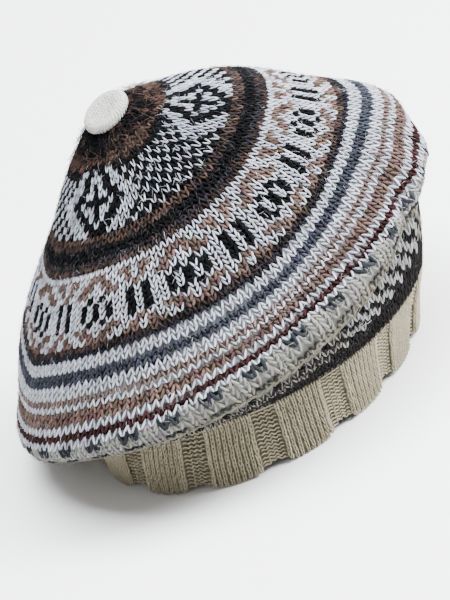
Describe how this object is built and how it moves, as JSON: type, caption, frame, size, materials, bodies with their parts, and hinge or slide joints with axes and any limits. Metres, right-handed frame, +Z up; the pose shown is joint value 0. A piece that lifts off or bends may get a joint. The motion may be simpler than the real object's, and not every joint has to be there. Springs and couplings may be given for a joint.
{
  "type": "knitted tam beret",
  "caption": "Round knitted tam beret with a cone-shaped patterned crown, a dark turned-in underside, a ribbed band open for the head and a flat covered button on the tip.",
  "frame": {"origin": "middle of the bounding box in X and Y, at the lower edge of the band", "axes": "+Z up from the band to the crown, -Y towards the viewer's side of the picture, +X to the right of that view, where the crown is raised; the crown droops towards -X"},
  "size_m": [0.2274, 0.2326, 0.159],
  "materials": {
    "crown_knit": "stranded wool knitting in white, black, browns and greys, with loose fibres",
    "underside_knit": "black-brown wool knitting with pale specks",
    "band_rib": "cream ribbed wool knitting",
    "button_cover": "off-white knitted cover"
  },
  "bodies": {
    "root": {"crown": "crown_knit", "underside": "underside_knit", "rib_band": "band_rib", "top_button": "button_cover"}
  },
  "joints": []
}
